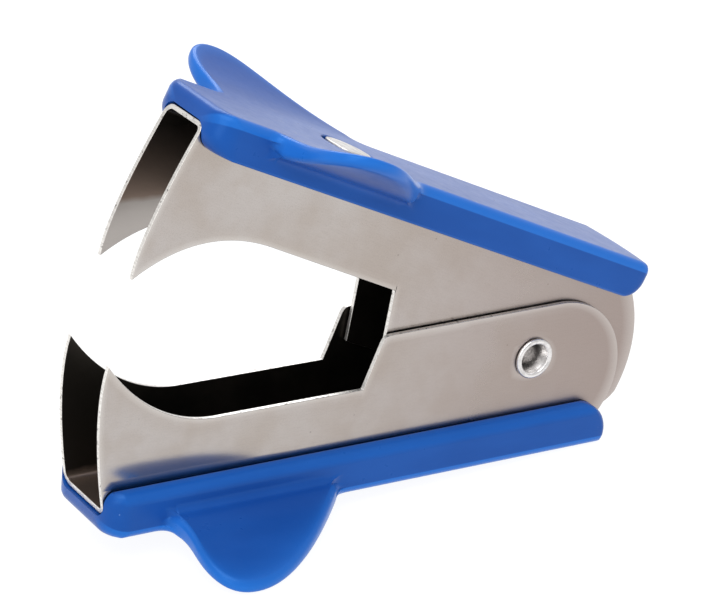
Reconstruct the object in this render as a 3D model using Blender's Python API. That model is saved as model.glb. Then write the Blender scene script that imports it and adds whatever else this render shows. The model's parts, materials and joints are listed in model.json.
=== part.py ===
"""Staple remover: two sprung steel jaws on one hollow rivet, each with a plastic grip.

Every outline is drawn in a jaw frame whose origin is the hinge axis. There x runs from the
fangs (negative) to the tail (positive), y runs across the jaw, and z is up for both jaws, so
the lower web is at negative z and the upper web at positive z. Lengths here are in mm and
become metres when a mesh is made.
"""

from math import acos, asin, atan2, cos, degrees, exp, hypot, pi, radians, sin, sqrt

import bmesh
import bpy

# Pose of the two jaw frames in the object frame.
HINGE_X = 17.91
HINGE_Z = 10.85
LOWER_TILT = 2.81
OPENING = 23.1

# Sheet steel of both jaws.
SHEET = 0.5
BEND_R = 1.1
LOWER_HALF = 4.0
LOWER_WEB = -8.5
UPPER_HALF = 3.2
UPPER_WEB = 11.2

# Hollow pivot rivet.
PIVOT_HOLE_R = 1.8
PIVOT_SHANK_R = 1.5
PIVOT_BORE_R = 1.12
PIVOT_LIP_R = 2.08
PIVOT_LIP_TOP = 4.5

# Torsion spring.
WIRE_R = 0.35
COIL_R = 2.3
COIL_HALF_WIDTH = 1.55
LEG_REACH = 13.0

# Plastic grips.
GRIP_HALF = 5.75
GRIP_GAP = 0.15
GRIP_FRONT = -48.55
FRONT_CORNER_R = 2.5
REAR_CORNER_R = 0.7
GRIP_EDGE_R = 0.45
LOWER_GRIP_BACK = -10.45
LOWER_GRIP_RIM = -5.8
LOWER_GRIP_REAR = 9.25
UPPER_GRIP_BACK = 13.15
UPPER_GRIP_RIM = 9.3
UPPER_GRIP_REAR = 8.3

# Finger ears of the grips, curving away from the jaw as an arc across the grip.
LOWER_EAR_TIP = -37.9
UPPER_EAR_TIP = -37.5
EAR_OUT = 10.15
LOWER_EAR_ARC_R = 24.0
UPPER_EAR_ARC_R = 22.6
EAR_ARC_START = 5.0
EAR_DROP = 0.35
EAR_THICK = 1.25
EAR_ROOT_EXTRA = 1.1
EAR_ROOT_FADE = 5.0

# Rivets that hold the grips on the webs.
LOWER_RIVET_X = -27.9
UPPER_RIVET_X = -29.6
RIVET_HEAD_R = 2.37
RIVET_HEAD_THICK = 0.8
RIVET_SHANK_R = 1.25
RIVET_HOLE_R = 1.55
RIVET_FOOT_R = 2.0
COUNTERBORE_R = 2.8
COUNTERBORE_DEEP = 0.95


def arc(centre, radius, start, end, count):
    """Points on a circle from one angle to the other, in degrees."""
    step = (end - start) / count
    angles = [radians(start + step * i) for i in range(count + 1)]
    return [(centre[0] + radius * cos(a), centre[1] + radius * sin(a)) for a in angles]


def bezier(p0, p1, p2, p3, count):
    """Points on a cubic curve, without its last point."""
    points = []
    for i in range(count):
        t = i / count
        weights = ((1 - t) ** 3, 3 * t * (1 - t) ** 2, 3 * t * t * (1 - t), t**3)
        points.append(
            tuple(sum(w * p[k] for w, p in zip(weights, (p0, p1, p2, p3))) for k in (0, 1))
        )
    return points


def material(name, colour, roughness, metallic):
    made = bpy.data.materials.new(name)
    made.use_nodes = True
    shader = made.node_tree.nodes["Principled BSDF"]
    shader.inputs["Base Color"].default_value = (*colour, 1.0)
    shader.inputs["Roughness"].default_value = roughness
    shader.inputs["Metallic"].default_value = metallic
    made.diffuse_color = (*colour, 1.0)
    return made


def place(obj, frame):
    """Puts the object's origin on the hinge axis and turns it into its jaw's frame."""
    tilt = LOWER_TILT + (OPENING if frame == "upper" else 0.0)
    obj.location = (HINGE_X / 1000, 0.0, HINGE_Z / 1000)
    obj.rotation_euler = (0.0, radians(tilt), 0.0)
    bpy.context.scene.collection.objects.link(obj)
    return obj


def mesh_object(name, build, frame):
    """An object whose mesh is the bmesh, scaled from mm to metres with its faces outward."""
    bmesh.ops.recalc_face_normals(build, faces=build.faces)
    bmesh.ops.scale(build, vec=(0.001, 0.001, 0.001), verts=build.verts)
    mesh = bpy.data.meshes.new(name)
    build.to_mesh(mesh)
    build.free()
    return place(bpy.data.objects.new(name, mesh), frame)


def prism(name, outline, axis, low, high, frame, edge_r=0.0):
    """A solid with the outline as its section, from low to high along the axis."""
    build = bmesh.new()
    if axis == "x":
        bottom = [build.verts.new((low, p[0], p[1])) for p in outline]
        move = (high - low, 0, 0)
    elif axis == "y":
        bottom = [build.verts.new((p[0], low, p[1])) for p in outline]
        move = (0, high - low, 0)
    else:
        bottom = [build.verts.new((p[0], p[1], low)) for p in outline]
        move = (0, 0, high - low)
    face = build.faces.new(bottom)
    top = bmesh.ops.extrude_face_region(build, geom=[face])["geom"]
    bmesh.ops.translate(
        build, vec=move, verts=[e for e in top if isinstance(e, bmesh.types.BMVert)]
    )
    if edge_r:
        rims = {e for f in build.faces if len(f.verts) > 4 for e in f.edges}
        bmesh.ops.bevel(
            build, geom=list(rims), offset=edge_r, segments=2, profile=0.5, affect="EDGES"
        )
    return mesh_object(name, build, frame)


def lathe(name, profile, axis, frame, centre=(0.0, 0.0), sides=40):
    """A closed ring from a profile of (radius, height) about the axis, y or z."""
    build = bmesh.new()
    rings = []
    for i in range(sides):
        a = 2 * pi * i / sides
        if axis == "y":
            ring = [(r * cos(a) + centre[0], h, r * sin(a) + centre[1]) for r, h in profile]
        else:
            ring = [(r * cos(a) + centre[0], r * sin(a) + centre[1], h) for r, h in profile]
        rings.append([build.verts.new(p) for p in ring])
    for ring, following in zip(rings, rings[1:] + rings[:1]):
        for k in range(len(profile)):
            j = (k + 1) % len(profile)
            build.faces.new((ring[k], ring[j], following[j], following[k]))
    bmesh.ops.remove_doubles(build, verts=build.verts, dist=0.0001)
    return mesh_object(name, build, frame)


def helper(obj):
    obj.hide_render = True
    obj.display_type = "WIRE"
    return obj


def combine(obj, other, operation):
    modifier = obj.modifiers.new(other.name, "BOOLEAN")
    modifier.operation = operation
    modifier.solver = "EXACT"
    modifier.object = helper(other)


def channel_section(half, web, open_end, thick, bend):
    """The U section of a bent sheet as (y, z): a web with two walls, bent with radius bend."""
    up = 1 if open_end > web else -1
    inner_bend = bend - thick

    def corner(side, inset, radius, reverse):
        centre = (side * (half - bend), web + up * bend)
        sweep = [i * 90 / 5 for i in range(6)]
        points = [
            (
                centre[0] + side * radius * sin(radians(a)),
                centre[1] - up * radius * cos(radians(a)),
            )
            for a in sweep
        ]
        return points[::-1] if reverse else points

    outside = corner(-1, 0, bend, True) + corner(1, 0, bend, False)
    inside = corner(1, thick, inner_bend, True) + corner(-1, thick, inner_bend, False)
    return (
        [(-half, open_end)]
        + outside
        + [(half, open_end), (half - thick, open_end)]
        + inside
        + [(-half + thick, open_end)]
    )


def lower_outline():
    """Side view of the lower jaw: fang, straight rim, raised hinge cheek, round tail."""
    below = LOWER_WEB - 1
    fang_tip = (-48.7, 7.0)
    front = bezier((-48.0, below), (-49.0, -4.5), (-49.9, 2.8), fang_tip, 12)
    throat = bezier(fang_tip, (-45.8, 2.9), (-41.5, -0.4), (-36.0, -0.17), 14)
    tail_centre = (3.0, -2.6)
    tail_r = 8.1
    tail = arc(tail_centre, tail_r, 90, degrees(asin((below + 2.6) / tail_r)), 24)
    return front + throat + [(-20.3, -0.15), (-18.6, 4.5), (-18.35, 5.0), (-17.8, 5.25)] + tail


def upper_outline():
    """Side view of the upper jaw: the flat under the tail rests on the lower web when open."""
    above = UPPER_WEB + 1
    fang_tip = (-48.7, -4.5)
    throat = bezier(fang_tip, (-45.8, -0.2), (-41.5, 2.5), (-35.5, 2.35), 14)
    front = bezier((-48.3, above), (-49.0, 7.5), (-49.7, -0.6), fang_tip, 12)
    slope = radians(OPENING)
    rest = LOWER_WEB + SHEET + 0.25
    heel_low = -5.5
    heel_x = (heel_low * cos(slope) - rest) / sin(slope)
    toe_x = 10.9
    toe = (toe_x, (rest + toe_x * sin(slope)) / cos(slope))
    tail_r = 13.35
    tail = arc((0.0, 0.0), tail_r, -4, degrees(asin(above / tail_r)), 24)
    cheek = [(-19.7, 2.05), (-17.4, heel_low), (heel_x, heel_low)]
    heel = bezier(toe, (11.4, toe[1] + 0.3), (12.85, toe[1] + 1.3), tail[0], 5)
    return front + throat + cheek + heel + tail


def jaw(name, outline, half, web, open_end, frame, rivet_x):
    section = channel_section(half, web, open_end, SHEET, BEND_R)
    body = prism(name, section, "x", -55.0, 20.0, frame)
    combine(body, prism(name + "_profile", outline, "y", -9.0, 9.0, frame), "INTERSECT")
    hole = arc((0.0, 0.0), PIVOT_HOLE_R, 0, 351, 39)
    combine(body, prism(name + "_pivot_hole", hole, "y", -9.0, 9.0, frame), "DIFFERENCE")
    hole = arc((rivet_x, 0.0), RIVET_HOLE_R, 0, 345, 23)
    ends = (web - 2.0, web + 2.0)
    combine(body, prism(name + "_web_hole", hole, "z", *ends, frame), "DIFFERENCE")
    return body


def grip_plan(front, rear):
    """Outline of a grip seen square to its web, with larger corners at the front."""
    fy = GRIP_HALF - FRONT_CORNER_R
    ry = GRIP_HALF - REAR_CORNER_R
    fx = front + FRONT_CORNER_R
    rx = rear - REAR_CORNER_R
    return (
        arc((fx, -fy), FRONT_CORNER_R, 180, 270, 6)
        + arc((rx, -ry), REAR_CORNER_R, 270, 360, 3)
        + arc((rx, ry), REAR_CORNER_R, 0, 90, 3)
        + arc((fx, fy), FRONT_CORNER_R, 90, 180, 6)
    )


def ear_plan(side, tip_x):
    """One ear seen square to the web: steep front, round tip, long slope to the rear."""
    base = side * 4.6
    wall = side * GRIP_HALF
    front = tip_x - 4.0
    back = tip_x + 13.7
    foot = (front - 1.8, wall - side * 0.1)
    brow = (front - 0.1, wall + side * 4.5)
    tip = (tip_x, wall + side * EAR_OUT)
    ankle = (back, wall + side * 1.1)
    rise = bezier(foot, (front - 0.4, wall), (front + 0.3, wall + side * 1.0), brow, 5)
    crown = bezier(
        brow, (front - 0.4, wall + side * 7.5), (tip_x - 3.3, tip[1]), tip, 9
    )
    fall = bezier(
        tip, (tip_x + 3.1, tip[1]), (back - 6.3, wall + side * 7.75), ankle, 9
    )
    heel = bezier(
        ankle, (back + 0.5, wall + side * 0.5), (back + 1.0, wall), (back + 2.2, wall), 4
    )
    end = [(back + 2.2, wall - side * 0.1), (back + 2.2, base)]
    return [(foot[0], base)] + rise + crown + fall + heel + end


def ear_section(side, back, out, arc_r):
    """Section of both faces of an ear as (y, z): an arc curving away from the jaw."""
    outer = []
    inner = []
    for i in range(13):
        y = EAR_ARC_START - 0.3 + (GRIP_HALF + EAR_OUT + 1.3 - EAR_ARC_START) * i / 12
        reach = max(y - EAR_ARC_START, 0.0)
        rise = arc_r - sqrt(arc_r**2 - reach**2) - EAR_DROP
        slope = reach / arc_r
        thick = EAR_THICK / cos(asin(slope)) + EAR_ROOT_EXTRA * exp(-reach / EAR_ROOT_FADE)
        outer.append((side * y, back + out * rise))
        inner.append((side * y, back + out * (rise - thick)))
    return outer + inner[::-1]


def grip(name, back, rim, rear, half, web, frame, tip_x, rivet_x):
    """A moulded channel that wraps the web, with two ears and a rivet hole."""
    out = -1 if back < rim else 1
    arc_r = LOWER_EAR_ARC_R if out < 0 else UPPER_EAR_ARC_R
    low, high = min(back, rim), max(back, rim)
    body = prism(name, grip_plan(GRIP_FRONT, rear), "z", low, high, frame, GRIP_EDGE_R)
    heel_r, toe_r, chin_r = (1.2, 3.3, 1.5) if out < 0 else (1.1, 1.5, 1.2)
    ends = side_profile(back, rim, rear, heel_r, toe_r, chin_r)
    combine(body, prism(name + "_ends", ends, "y", -9.0, 9.0, frame), "INTERSECT")
    for side, label in ((-1, "_ear_a"), (1, "_ear_b")):
        section = ear_section(side, back, out, arc_r)
        ear = prism(name + label, section, "x", GRIP_FRONT, -15.0, frame)
        outline = ear_plan(side, tip_x)
        plan = prism(name + label + "_plan", outline, "z", low - 9, high + 9, frame)
        combine(ear, plan, "INTERSECT")
        combine(body, ear, "UNION")
    pocket_half = half + GRIP_GAP
    floor = web + out * GRIP_GAP
    mouth = rim - out * 3.0
    bend = BEND_R + GRIP_GAP
    pocket = pocket_section(pocket_half, floor, mouth, bend)
    combine(body, prism(name + "_pocket", pocket, "x", -55.0, 20.0, frame), "DIFFERENCE")
    bore = arc((rivet_x, 0.0), COUNTERBORE_R, 0, 348, 29)
    span = sorted((back - out * COUNTERBORE_DEEP, back + out * 3.0))
    combine(body, prism(name + "_counterbore", bore, "z", *span, frame), "DIFFERENCE")
    hole = arc((rivet_x, 0.0), RIVET_HOLE_R, 0, 345, 23)
    span = sorted((floor - out * 1.0, back + out * 1.0))
    combine(body, prism(name + "_rivet_hole", hole, "z", *span, frame), "DIFFERENCE")
    return body


def pocket_section(half, floor, mouth, bend):
    """Section of the room for the jaw inside a grip as (y, z)."""
    up = 1 if mouth > floor else -1
    left = []
    right = []
    for i in range(6):
        a = radians(i * 18)
        left.append((-half + bend - bend * cos(a), floor + up * (bend - bend * sin(a))))
        right.append((half - bend + bend * sin(a), floor + up * (bend - bend * cos(a))))
    return [(-half, mouth)] + left + right + [(half, mouth)]


def side_profile(back, rim, rear, heel_r, toe_r, chin_r):
    """Side view of a grip that rounds its four corners, as (x, z)."""
    out = -1 if back < rim else 1
    nose_r = 1.1
    front = GRIP_FRONT - 0.05
    end = rear + 0.05
    outer = back + out * 0.05
    inner = rim - out * 0.05
    points = []
    for i in range(6):
        a = radians(i * 18)
        points.append((front + chin_r * (1 - sin(a)), inner + out * chin_r * (1 - cos(a))))
    for i in range(6):
        a = radians(i * 18)
        points.append((front + nose_r * (1 - cos(a)), outer - out * nose_r * (1 - sin(a))))
    for i in range(6):
        a = radians(i * 18)
        points.append((end - heel_r * (1 - sin(a)), outer - out * heel_r * (1 - cos(a))))
    for i in range(6):
        a = radians(i * 18)
        points.append((end - toe_r * (1 - cos(a)), inner + out * toe_r * (1 - sin(a))))
    return points


def grip_rivet(name, back, web, rivet_x, frame):
    """Flat head in the grip's counterbore, shank through the web, foot spread inside the jaw."""
    out = 1 if back > web else -1
    face = back - out * (COUNTERBORE_DEEP - 0.1 - RIVET_HEAD_THICK)
    under = back - out * (COUNTERBORE_DEEP - 0.1)
    inside = web - out * (SHEET + 0.1)
    foot = inside - out * 0.5
    head = RIVET_HEAD_R
    profile = [
        (0.0, face),
        (head - 0.15, face),
        (head, face - out * 0.15),
        (head, under),
        (RIVET_SHANK_R, under),
        (RIVET_SHANK_R, inside),
        (RIVET_FOOT_R, inside),
        (RIVET_FOOT_R, foot + out * 0.15),
        (RIVET_FOOT_R - 0.15, foot),
        (0.0, foot),
    ]
    return lathe(name, profile, "z", frame, (rivet_x, 0.0))


def pivot_rivet(name, frame):
    """A tube through both jaws with its two ends rolled outward."""
    seat = LOWER_HALF + 0.1
    end = [
        (PIVOT_SHANK_R, seat),
        (PIVOT_LIP_R - 0.08, seat),
        (PIVOT_LIP_R, seat + 0.12),
        (PIVOT_LIP_R - 0.08, seat + 0.27),
        (PIVOT_LIP_R - 0.28, PIVOT_LIP_TOP),
        (PIVOT_LIP_R - 0.5, PIVOT_LIP_TOP - 0.02),
        (PIVOT_BORE_R + 0.14, seat),
        (PIVOT_BORE_R, seat - 0.55),
    ]
    profile = end + [(r, -h) for r, h in reversed(end)]
    return lathe(name, profile, "y", frame)


def tangent_angle(point, radius, turn):
    """Angle at which a line from the point touches the circle about the hinge axis."""
    return atan2(point[1], point[0]) + turn * acos(radius / hypot(*point))


def torsion_spring(name, frame):
    """Close-wound wire about the pivot with one leg on each web."""
    gap = WIRE_R + 0.15
    low_tip = (-LEG_REACH, LOWER_WEB + SHEET + gap)
    slope = radians(OPENING)
    tip_u = -LEG_REACH - 1.0
    tip_v = UPPER_WEB - SHEET - gap
    high_tip = (
        tip_u * cos(slope) + tip_v * sin(slope),
        tip_v * cos(slope) - tip_u * sin(slope),
    )
    start = tangent_angle(low_tip, COIL_R, 1) - 2 * pi
    end = tangent_angle(high_tip, COIL_R, -1) + 6 * pi
    path = [(low_tip[0], COIL_HALF_WIDTH, low_tip[1])]
    steps = 56
    for i in range(steps + 1):
        a = start + (end - start) * i / steps
        y = COIL_HALF_WIDTH * (1 - 2 * i / steps)
        path.append((COIL_R * cos(a), y, COIL_R * sin(a)))
    path.append((high_tip[0], -COIL_HALF_WIDTH, high_tip[1]))
    curve = bpy.data.curves.new(name, "CURVE")
    curve.dimensions = "3D"
    curve.bevel_depth = WIRE_R / 1000
    curve.bevel_resolution = 1
    curve.use_fill_caps = True
    spline = curve.splines.new("POLY")
    spline.points.add(len(path) - 1)
    for point, place_mm in zip(spline.points, path):
        point.co = (*[c / 1000 for c in place_mm], 1.0)
    return place(bpy.data.objects.new(name, curve), frame)


def main():
    for obj in list(bpy.data.objects):
        bpy.data.objects.remove(obj, do_unlink=True)
    made = {
        "lower_jaw": jaw(
            "lower_jaw", lower_outline(), LOWER_HALF, LOWER_WEB, 9.0, "lower", LOWER_RIVET_X
        ),
        "upper_jaw": jaw(
            "upper_jaw", upper_outline(), UPPER_HALF, UPPER_WEB, -9.0, "upper", UPPER_RIVET_X
        ),
        "pivot_rivet": pivot_rivet("pivot_rivet", "lower"),
        "torsion_spring": torsion_spring("torsion_spring", "lower"),
        "lower_grip": grip(
            "lower_grip",
            LOWER_GRIP_BACK,
            LOWER_GRIP_RIM,
            LOWER_GRIP_REAR,
            LOWER_HALF,
            LOWER_WEB,
            "lower",
            LOWER_EAR_TIP,
            LOWER_RIVET_X,
        ),
        "upper_grip": grip(
            "upper_grip",
            UPPER_GRIP_BACK,
            UPPER_GRIP_RIM,
            UPPER_GRIP_REAR,
            UPPER_HALF,
            UPPER_WEB,
            "upper",
            UPPER_EAR_TIP,
            UPPER_RIVET_X,
        ),
        "lower_grip_rivet": grip_rivet(
            "lower_grip_rivet", LOWER_GRIP_BACK, LOWER_WEB, LOWER_RIVET_X, "lower"
        ),
        "upper_grip_rivet": grip_rivet(
            "upper_grip_rivet", UPPER_GRIP_BACK, UPPER_WEB, UPPER_RIVET_X, "upper"
        ),
    }
    looks = {
        "lower_jaw": ((0.62, 0.58, 0.53), 0.25, 1.0),
        "upper_jaw": ((0.62, 0.58, 0.53), 0.25, 1.0),
        "pivot_rivet": ((0.70, 0.68, 0.65), 0.2, 1.0),
        "torsion_spring": ((0.45, 0.44, 0.42), 0.3, 1.0),
        "lower_grip": ((0.02, 0.13, 0.55), 0.3, 0.0),
        "upper_grip": ((0.02, 0.13, 0.55), 0.3, 0.0),
        "lower_grip_rivet": ((0.55, 0.54, 0.52), 0.35, 1.0),
        "upper_grip_rivet": ((0.55, 0.54, 0.52), 0.35, 1.0),
    }
    for name, obj in made.items():
        obj.data.materials.append(material(name, *looks[name]))


main()
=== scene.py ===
"""Staple remover: two sprung steel jaws on one hollow rivet, each with a moulded finger grip.

Shapes are worked out in a jaw frame, in mm. Its origin is on the hinge axis, x runs from the
fangs (negative) to the tail, y runs across the jaw and z is up, for both jaws. set_in_place
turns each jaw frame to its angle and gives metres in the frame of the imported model.
"""

import json
from math import acos, asin, atan2, cos, degrees, hypot, pi, radians, sin

import bmesh
import bpy
import numpy as np
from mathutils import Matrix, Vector


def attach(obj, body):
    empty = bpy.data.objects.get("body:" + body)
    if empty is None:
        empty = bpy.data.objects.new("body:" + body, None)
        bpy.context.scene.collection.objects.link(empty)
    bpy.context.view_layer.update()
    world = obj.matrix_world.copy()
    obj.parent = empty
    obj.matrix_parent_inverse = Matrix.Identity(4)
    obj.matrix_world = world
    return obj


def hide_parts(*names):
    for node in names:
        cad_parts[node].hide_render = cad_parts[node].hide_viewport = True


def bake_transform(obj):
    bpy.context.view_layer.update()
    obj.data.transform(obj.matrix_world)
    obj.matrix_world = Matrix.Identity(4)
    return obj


bl_info = {
    "name": "Staple Remover",
    "version": (1, 0, 0),
    "blender": (4, 5, 0),
    "location": "3D View > Sidebar > Staple Remover",
    "description": "Sprung claw staple remover with plated jaws and moulded finger grips",
    "category": "Object",
}

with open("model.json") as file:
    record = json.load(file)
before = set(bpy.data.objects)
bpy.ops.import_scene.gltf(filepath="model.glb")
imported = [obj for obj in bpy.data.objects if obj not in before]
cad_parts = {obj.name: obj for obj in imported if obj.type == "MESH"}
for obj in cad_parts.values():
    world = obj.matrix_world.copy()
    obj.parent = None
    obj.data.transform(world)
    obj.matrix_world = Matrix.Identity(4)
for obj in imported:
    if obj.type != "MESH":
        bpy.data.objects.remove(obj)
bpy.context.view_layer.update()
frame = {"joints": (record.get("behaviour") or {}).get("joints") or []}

# The hinge, in mm, and the angle of each jaw frame about it, in degrees.
HINGE = np.array(frame["joints"][0]["pos_m"]) * 1000
TILT = {"lower": 2.81, "upper": 25.91}
# The way from a jaw's mouth to its web: down for the lower jaw, up for the upper.
OUT = {"lower": -1, "upper": 1}

# The sheet's thickness, the outer radius of its bends and the radius of the pivot holes.
SHEET = 0.5
BEND = 1.1
PIVOT_HOLE_R = 1.8
# How far the lightening on a jaw's edges reaches in, in mm: partly wear, partly painted highlight.
EDGE_WEAR_AND_SHINE = 0.9
# Size of the cells, in mm, whose points are welded into one.
WELD = 0.002
# Depth under a web, in mm, at the last stop of its inner face's colours, which are painted shade
# and painted light.
DEEPEST = 16.0
# Clearance between pieces that touch on the real tool.
ROOM = 0.15
# Each wall is made in two patches, which meet at this x.
SPLIT_X = -9.0
# Circle of each jaw's round tail: x and z of its centre, and its radius.
TAIL = {"lower": (3.0, -2.6, 8.1), "upper": (0.0, 0.0, 13.35)}

# Height of each web's outer face, of the grip's back and of its rim.
WEB = {"lower": 8.5, "upper": 11.2}
BACK = {"lower": 10.45, "upper": 13.15}
RIM = {"lower": 5.8, "upper": 9.2}
# Rounding of the rim's outer edge.
RIM_R = {"lower": 1.2, "upper": 0.3}
GRIP_FRONT = -48.55
GRIP_REAR = {"lower": 9.4, "upper": 8.95}
EAR_TIP = {"lower": -37.9, "upper": -37.5}
# How far an ear's front and rear lie from its tip, along the jaw.
EAR_FORE = {"lower": 3.75, "upper": 4.0}
EAR_AFT = {"lower": 13.7, "upper": 12.3}
RIVET_X = {"lower": -27.9, "upper": -29.7}
# How far a rivet's face stands above the grip's back.
HEAD_PROUD = {"lower": -0.05, "upper": 0.08}
# Radii of the grip's front end at its back and rim, then of its rear end at both.
NOSE_R = {"lower": 1.1, "upper": 1.0}
CHIN_R = {"lower": 1.5, "upper": 1.8}
HEEL_R = {"lower": 1.2, "upper": 1.1}
TOE_R = {"lower": 3.3, "upper": 2.1}
# How far the middle of the rear end stands out behind its corners.
REAR_BOW = {"lower": 0.0, "upper": 0.85}
# Degrees by which a grip sits askew on its web, about the jaw's length.
ROLL = {"lower": 0.0, "upper": 1.0}
# Power of the distance out by which an ear bends away from the jaw, from this far out.
EAR_CURL = {"lower": 1.75, "upper": 2.0}
CURL_FROM = 4.3
# Rounding of a grip's corners in plan, at the front and at the rear.
FRONT_CORNER_R = 2.5
REAR_CORNER_R = 0.7
# The recess round a rivet's head: radius, depth, rounding of its lip and shift of its centre.
RECESS_R = 2.8
RECESS_DEEP = 0.95
RECESS_LIP_R = 0.14
RECESS_SHIFT = -0.2
# The window in the grip's back that the recess is fitted in: half its width and length.
WINDOW_HALF = 3.7
WINDOW_REACH = 3.75

# The floor reaches this far, in metres, each way from the object.
FLOOR_REACH = 3.0
# Camera: place in metres, and turn about x, y and z in degrees.
CAMERA_PLACE = (-0.143856, -0.213553, 0.137427)
CAMERA_TURN = (65.11961, -2.99214, -32.25134)


# ---------------------------------------------------------------- curves and surfaces


def bezier(p0, p1, p2, p3, count):
    """Cubic Bezier: the four points weighted by the Bernstein terms of t, t from 0 to 1."""
    t = np.linspace(0, 1, count)[:, None]
    terms = ((1 - t) ** 3, 3 * t * (1 - t) ** 2, 3 * t * t * (1 - t), t**3)
    return sum(term * np.array(p, float) for term, p in zip(terms, (p0, p1, p2, p3)))


def line(start, end, count):
    """Straight run: start plus t times the way to end, t from 0 to 1."""
    t = np.linspace(0, 1, count)[:, None]
    return (1 - t) * np.array(start, float) + t * np.array(end, float)


def arc(centre, radius, start, end, count):
    """Circle arc: the centre plus radius times the cosine and sine of the angle, in degrees."""
    a = np.radians(np.linspace(start, end, count))
    return np.array(centre, float) + radius * np.stack([np.cos(a), np.sin(a)], 1)


def chain(*runs):
    """The runs end to end, each later run without the point that it shares."""
    return np.concatenate([runs[0]] + [run[1:] for run in runs[1:]])


def lengths(path):
    """Length run along the path up to each of its points."""
    steps = np.linalg.norm(np.diff(path, axis=0), axis=1)
    return np.concatenate([[0.0], np.cumsum(steps)])


def spaced(path, count):
    """The path's points moved along it to equal distances from each other."""
    run = lengths(path)
    at = np.linspace(0, run[-1], count)
    return np.stack([np.interp(at, run, path[:, k]) for k in range(path.shape[1])], 1)


def ease(t):
    """Smooth step: 3 t squared minus 2 t cubed, t held between 0 and 1."""
    t = np.clip(t, 0, 1)
    return t * t * (3 - 2 * t)


def round_off(depth, radius):
    """How far a rounded corner stands back at a depth under its face: r - sqrt(r^2 - (r - d)^2)."""
    inside = np.clip(radius - depth, 0, radius)
    return radius - np.sqrt(radius**2 - inside**2)


def coons(web_edge, free_edge, front, back):
    """Coons patch: the two ruled surfaces between opposite edges, added, less the bilinear one."""
    u = np.linspace(0, 1, len(web_edge))[:, None, None]
    v = lengths(front)[None, :, None] / lengths(front)[-1]
    across = (1 - v) * web_edge[:, None] + v * free_edge[:, None]
    along = (1 - u) * front[None] + u * back[None]
    low = (1 - u) * web_edge[0] + u * web_edge[-1]
    high = (1 - u) * free_edge[0] + u * free_edge[-1]
    return across + along - ((1 - v) * low + v * high)


def to_circle(loop, centre, radius, rows):
    """Ruled ring: each point of the loop joined to the circle's point at its own bearing."""
    away = loop - centre
    bearing = np.arctan2(away[:, 1], away[:, 0])
    circle = centre + radius * np.stack([np.cos(bearing), np.sin(bearing)], 1)
    w = np.linspace(0, 1, rows)[:, None, None]
    return (1 - w) * loop[None] + w * circle[None]


def set_in_place(points, jaw):
    """Turns jaw-frame points about the y axis by the jaw's tilt, adds the hinge, gives metres."""
    a = radians(TILT[jaw])
    x, y, z = points[..., 0], points[..., 1], points[..., 2]
    turned = np.stack([x * cos(a) + z * sin(a), y, z * cos(a) - x * sin(a)], -1)
    return (turned + HINGE) / 1000


def grid_quads(rows, columns, keep=None):
    """The quads between a grid's points, each as the numbers of its four corners."""
    corner = np.arange(rows - 1)[:, None] * columns + np.arange(columns - 1)
    corner = corner.ravel() if keep is None else corner[keep]
    return np.stack([corner, corner + columns, corner + columns + 1, corner + 1], 1)


class Skin:
    """Grids of points gathered into one mesh, welded where they meet."""

    def __init__(self):
        self.points = []
        self.faces = []
        self.marks = []
        self.count = 0

    def add(self, grid, outward=None, mark=None, keep=None):
        """A grid of rows by columns by 3 as quads, turned so that it faces outward.

        keep, a mask of rows - 1 by columns - 1, says which quads are made.
        """
        quads = grid_quads(*grid.shape[:2], keep)
        flat = grid.reshape(-1, 3)
        if outward is not None:
            a = flat[quads[:, 2]] - flat[quads[:, 0]]
            b = flat[quads[:, 3]] - flat[quads[:, 1]]
            if (np.cross(a, b).sum(0) * np.array(outward)).sum() < 0:
                quads = quads[:, ::-1]
        self.points.append(flat.copy())
        self.faces.append(quads + self.count)
        self.marks.append(np.zeros(len(flat)) if mark is None else mark.reshape(-1))
        self.count += len(flat)

    def roll(self, degree, height):
        """Turns all points about the line y = 0, z = height, by y cos a - z sin a and so on."""
        a = radians(degree)
        for grid in self.points:
            y, z = grid[:, 1].copy(), grid[:, 2] - height
            grid[:, 1] = y * cos(a) - z * sin(a)
            grid[:, 2] = y * sin(a) + z * cos(a) + height

    def mesh(self, name, jaw, solid=True):
        """The welded mesh, smooth, in place. A closed skin is turned to face outward."""
        points = np.concatenate(self.points)
        quads = np.concatenate(self.faces)
        marks = np.concatenate(self.marks)
        key = np.floor(points / WELD + 0.137).astype(np.int64)
        _, first, index = np.unique(key, axis=0, return_index=True, return_inverse=True)
        quads = index.reshape(-1)[quads]
        points, marks = points[first], marks[first]
        faces = []
        for quad in quads.tolist():
            face = list(dict.fromkeys(quad))
            if len(face) > 2:
                faces.append(face)
        made = bpy.data.meshes.new(name)
        made.from_pydata(set_in_place(points, jaw).tolist(), [], faces)
        if solid:
            build = bmesh.new()
            build.from_mesh(made)
            bmesh.ops.recalc_face_normals(build, faces=build.faces)
            if build.calc_volume(signed=True) < 0:
                bmesh.ops.reverse_faces(build, faces=build.faces)
            build.to_mesh(made)
            build.free()
        made.attributes.new("mark", "FLOAT", "POINT").data.foreach_set(
            "value", marks.astype(np.float32)
        )
        made.shade_smooth()
        return made


# ---------------------------------------------------------------- shader sums


def rgba(colour, factor=1.0):
    """A shader colour: the three channels scaled by one factor or by three, and full alpha."""
    return (*(np.array(colour) * factor).tolist(), 1.0)


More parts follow.
